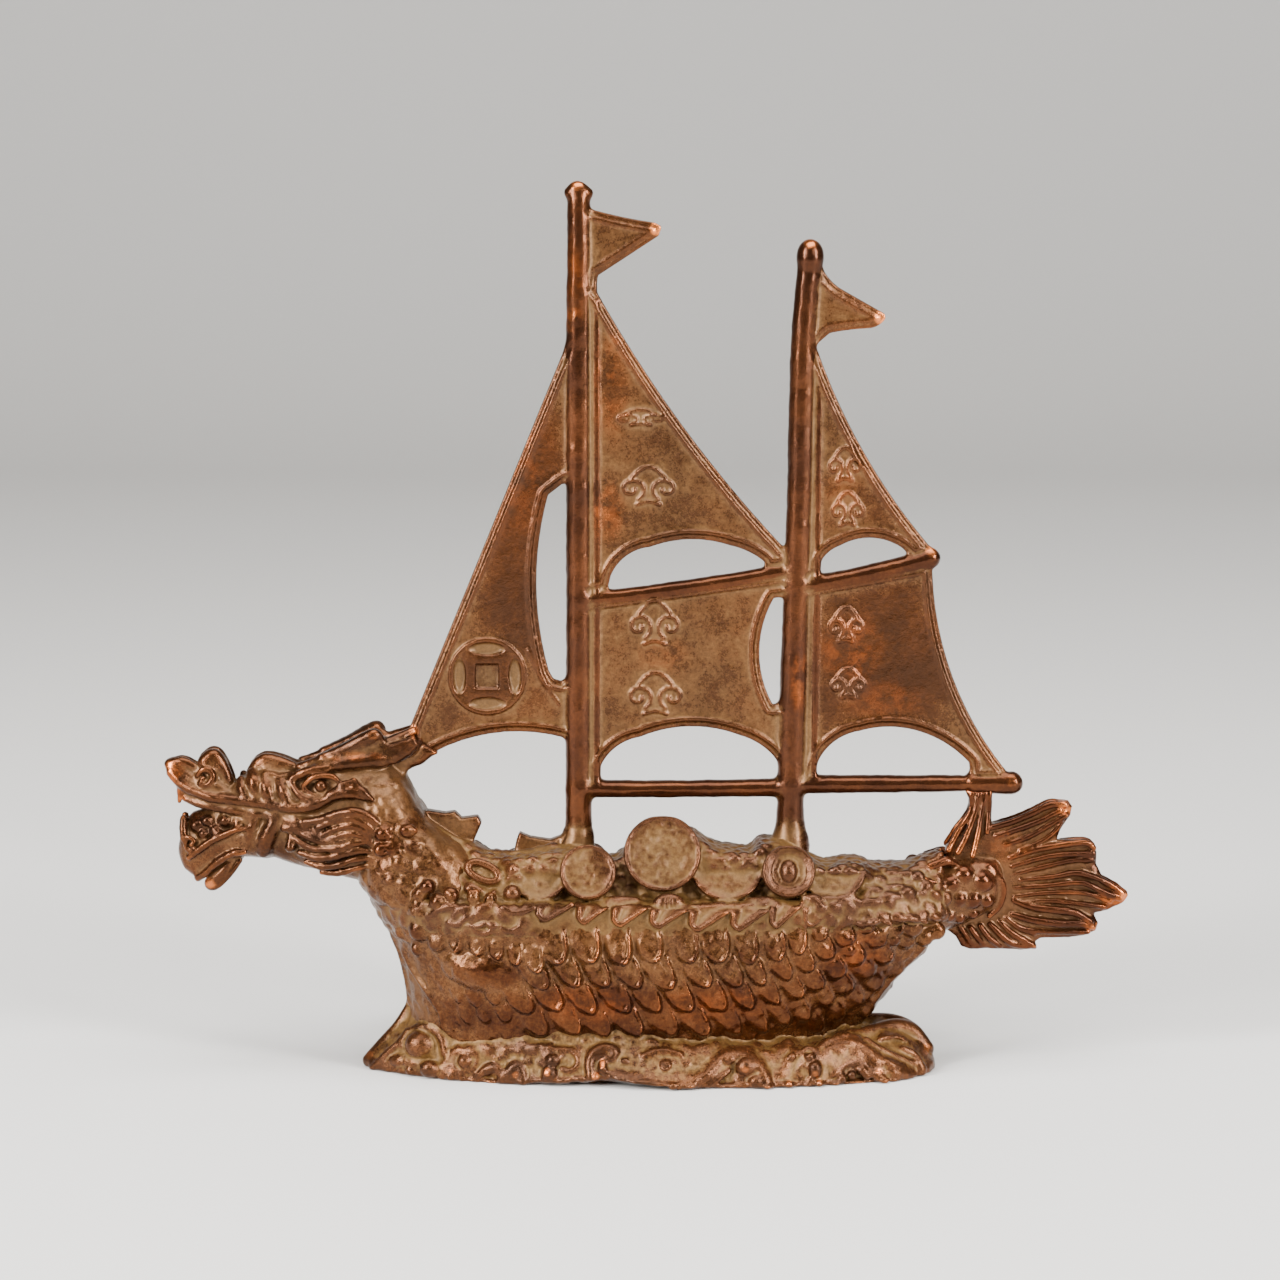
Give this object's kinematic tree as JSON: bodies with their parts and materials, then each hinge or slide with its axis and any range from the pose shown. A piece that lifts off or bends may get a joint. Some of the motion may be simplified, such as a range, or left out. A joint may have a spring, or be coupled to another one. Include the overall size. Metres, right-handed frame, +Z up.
{
  "type": "cast bronze dragon boat ornament",
  "caption": "Small cast bronze sailing boat with a dragon's head, scaled hull, fan tail, masts with openwork sails, treasure on deck and a wave-shaped base to stand on.",
  "frame": {"origin": "middle of the wave base's underside, on the surface it stands on", "axes": "+X from the head to the tail, +Y to the side away from the pictured one, +Z up"},
  "size_m": [0.1258, 0.0268, 0.1159],
  "materials": {
    "bronze_base": "dusty brown patina, worn on the wave crests",
    "bronze_hull": "dark red-brown patina, rubbed glossy on the scales",
    "bronze_head": "brown patina, rubbed to copper on the snout",
    "bronze_sail": "brown patina with olive dust in the hollows",
    "bronze_mast": "brown patina, rubbed along the edges",
    "bronze_deck": "olive-brown patina, dusty between the treasures",
    "bronze_tail": "dark red-brown patina, copper at the fin tips"
  },
  "bodies": {
    "root": {"wave_base": "bronze_base", "hull": "bronze_hull", "neck": "bronze_hull", "neck_fin": "bronze_hull", "deck_fin": "bronze_hull", "gunwale_left": "bronze_deck", "gunwale_right": "bronze_deck", "treasure_heap": "bronze_deck", "fore_disc_left": "bronze_deck", "fore_disc_right": "bronze_deck", "small_coin_left": "bronze_deck", "small_coin_right": "bronze_deck", "big_coin_left": "bronze_deck", "big_coin_right": "bronze_deck", "mid_disc_left": "bronze_deck", "mid_disc_right": "bronze_deck", "ring_bead_left": "bronze_deck", "ring_bead_right": "bronze_deck", "aft_disc_left": "bronze_deck", "aft_disc_right": "bronze_deck", "head_skull": "bronze_head", "lower_jaw": "bronze_head", "beard_curl": "bronze_head", "forehead_crest": "bronze_head", "horn_left": "bronze_head", "horn_right": "bronze_head", "ear_left": "bronze_head", "ear_right": "bronze_head", "eye_left": "bronze_head", "eye_right": "bronze_head", "nostril_left": "bronze_head", "nostril_right": "bronze_head", "mane_left": "bronze_head", "mane_right": "bronze_head", "tail_root": "bronze_tail", "tail_fan": "bronze_tail", "tail_stay": "bronze_tail", "fore_mast": "bronze_mast", "fore_mast_cap": "bronze_mast", "main_mast": "bronze_mast", "main_mast_cap": "bronze_mast", "fore_gaff": "bronze_mast", "fore_boom": "bronze_mast", "main_gaff": "bronze_mast", "main_boom": "bronze_mast", "jib": "bronze_sail", "fore_topsail": "bronze_sail", "fore_course": "bronze_sail", "main_topsail": "bronze_sail", "main_course": "bronze_sail", "fore_pennant": "bronze_sail", "main_pennant": "bronze_sail"}
  },
  "joints": []
}
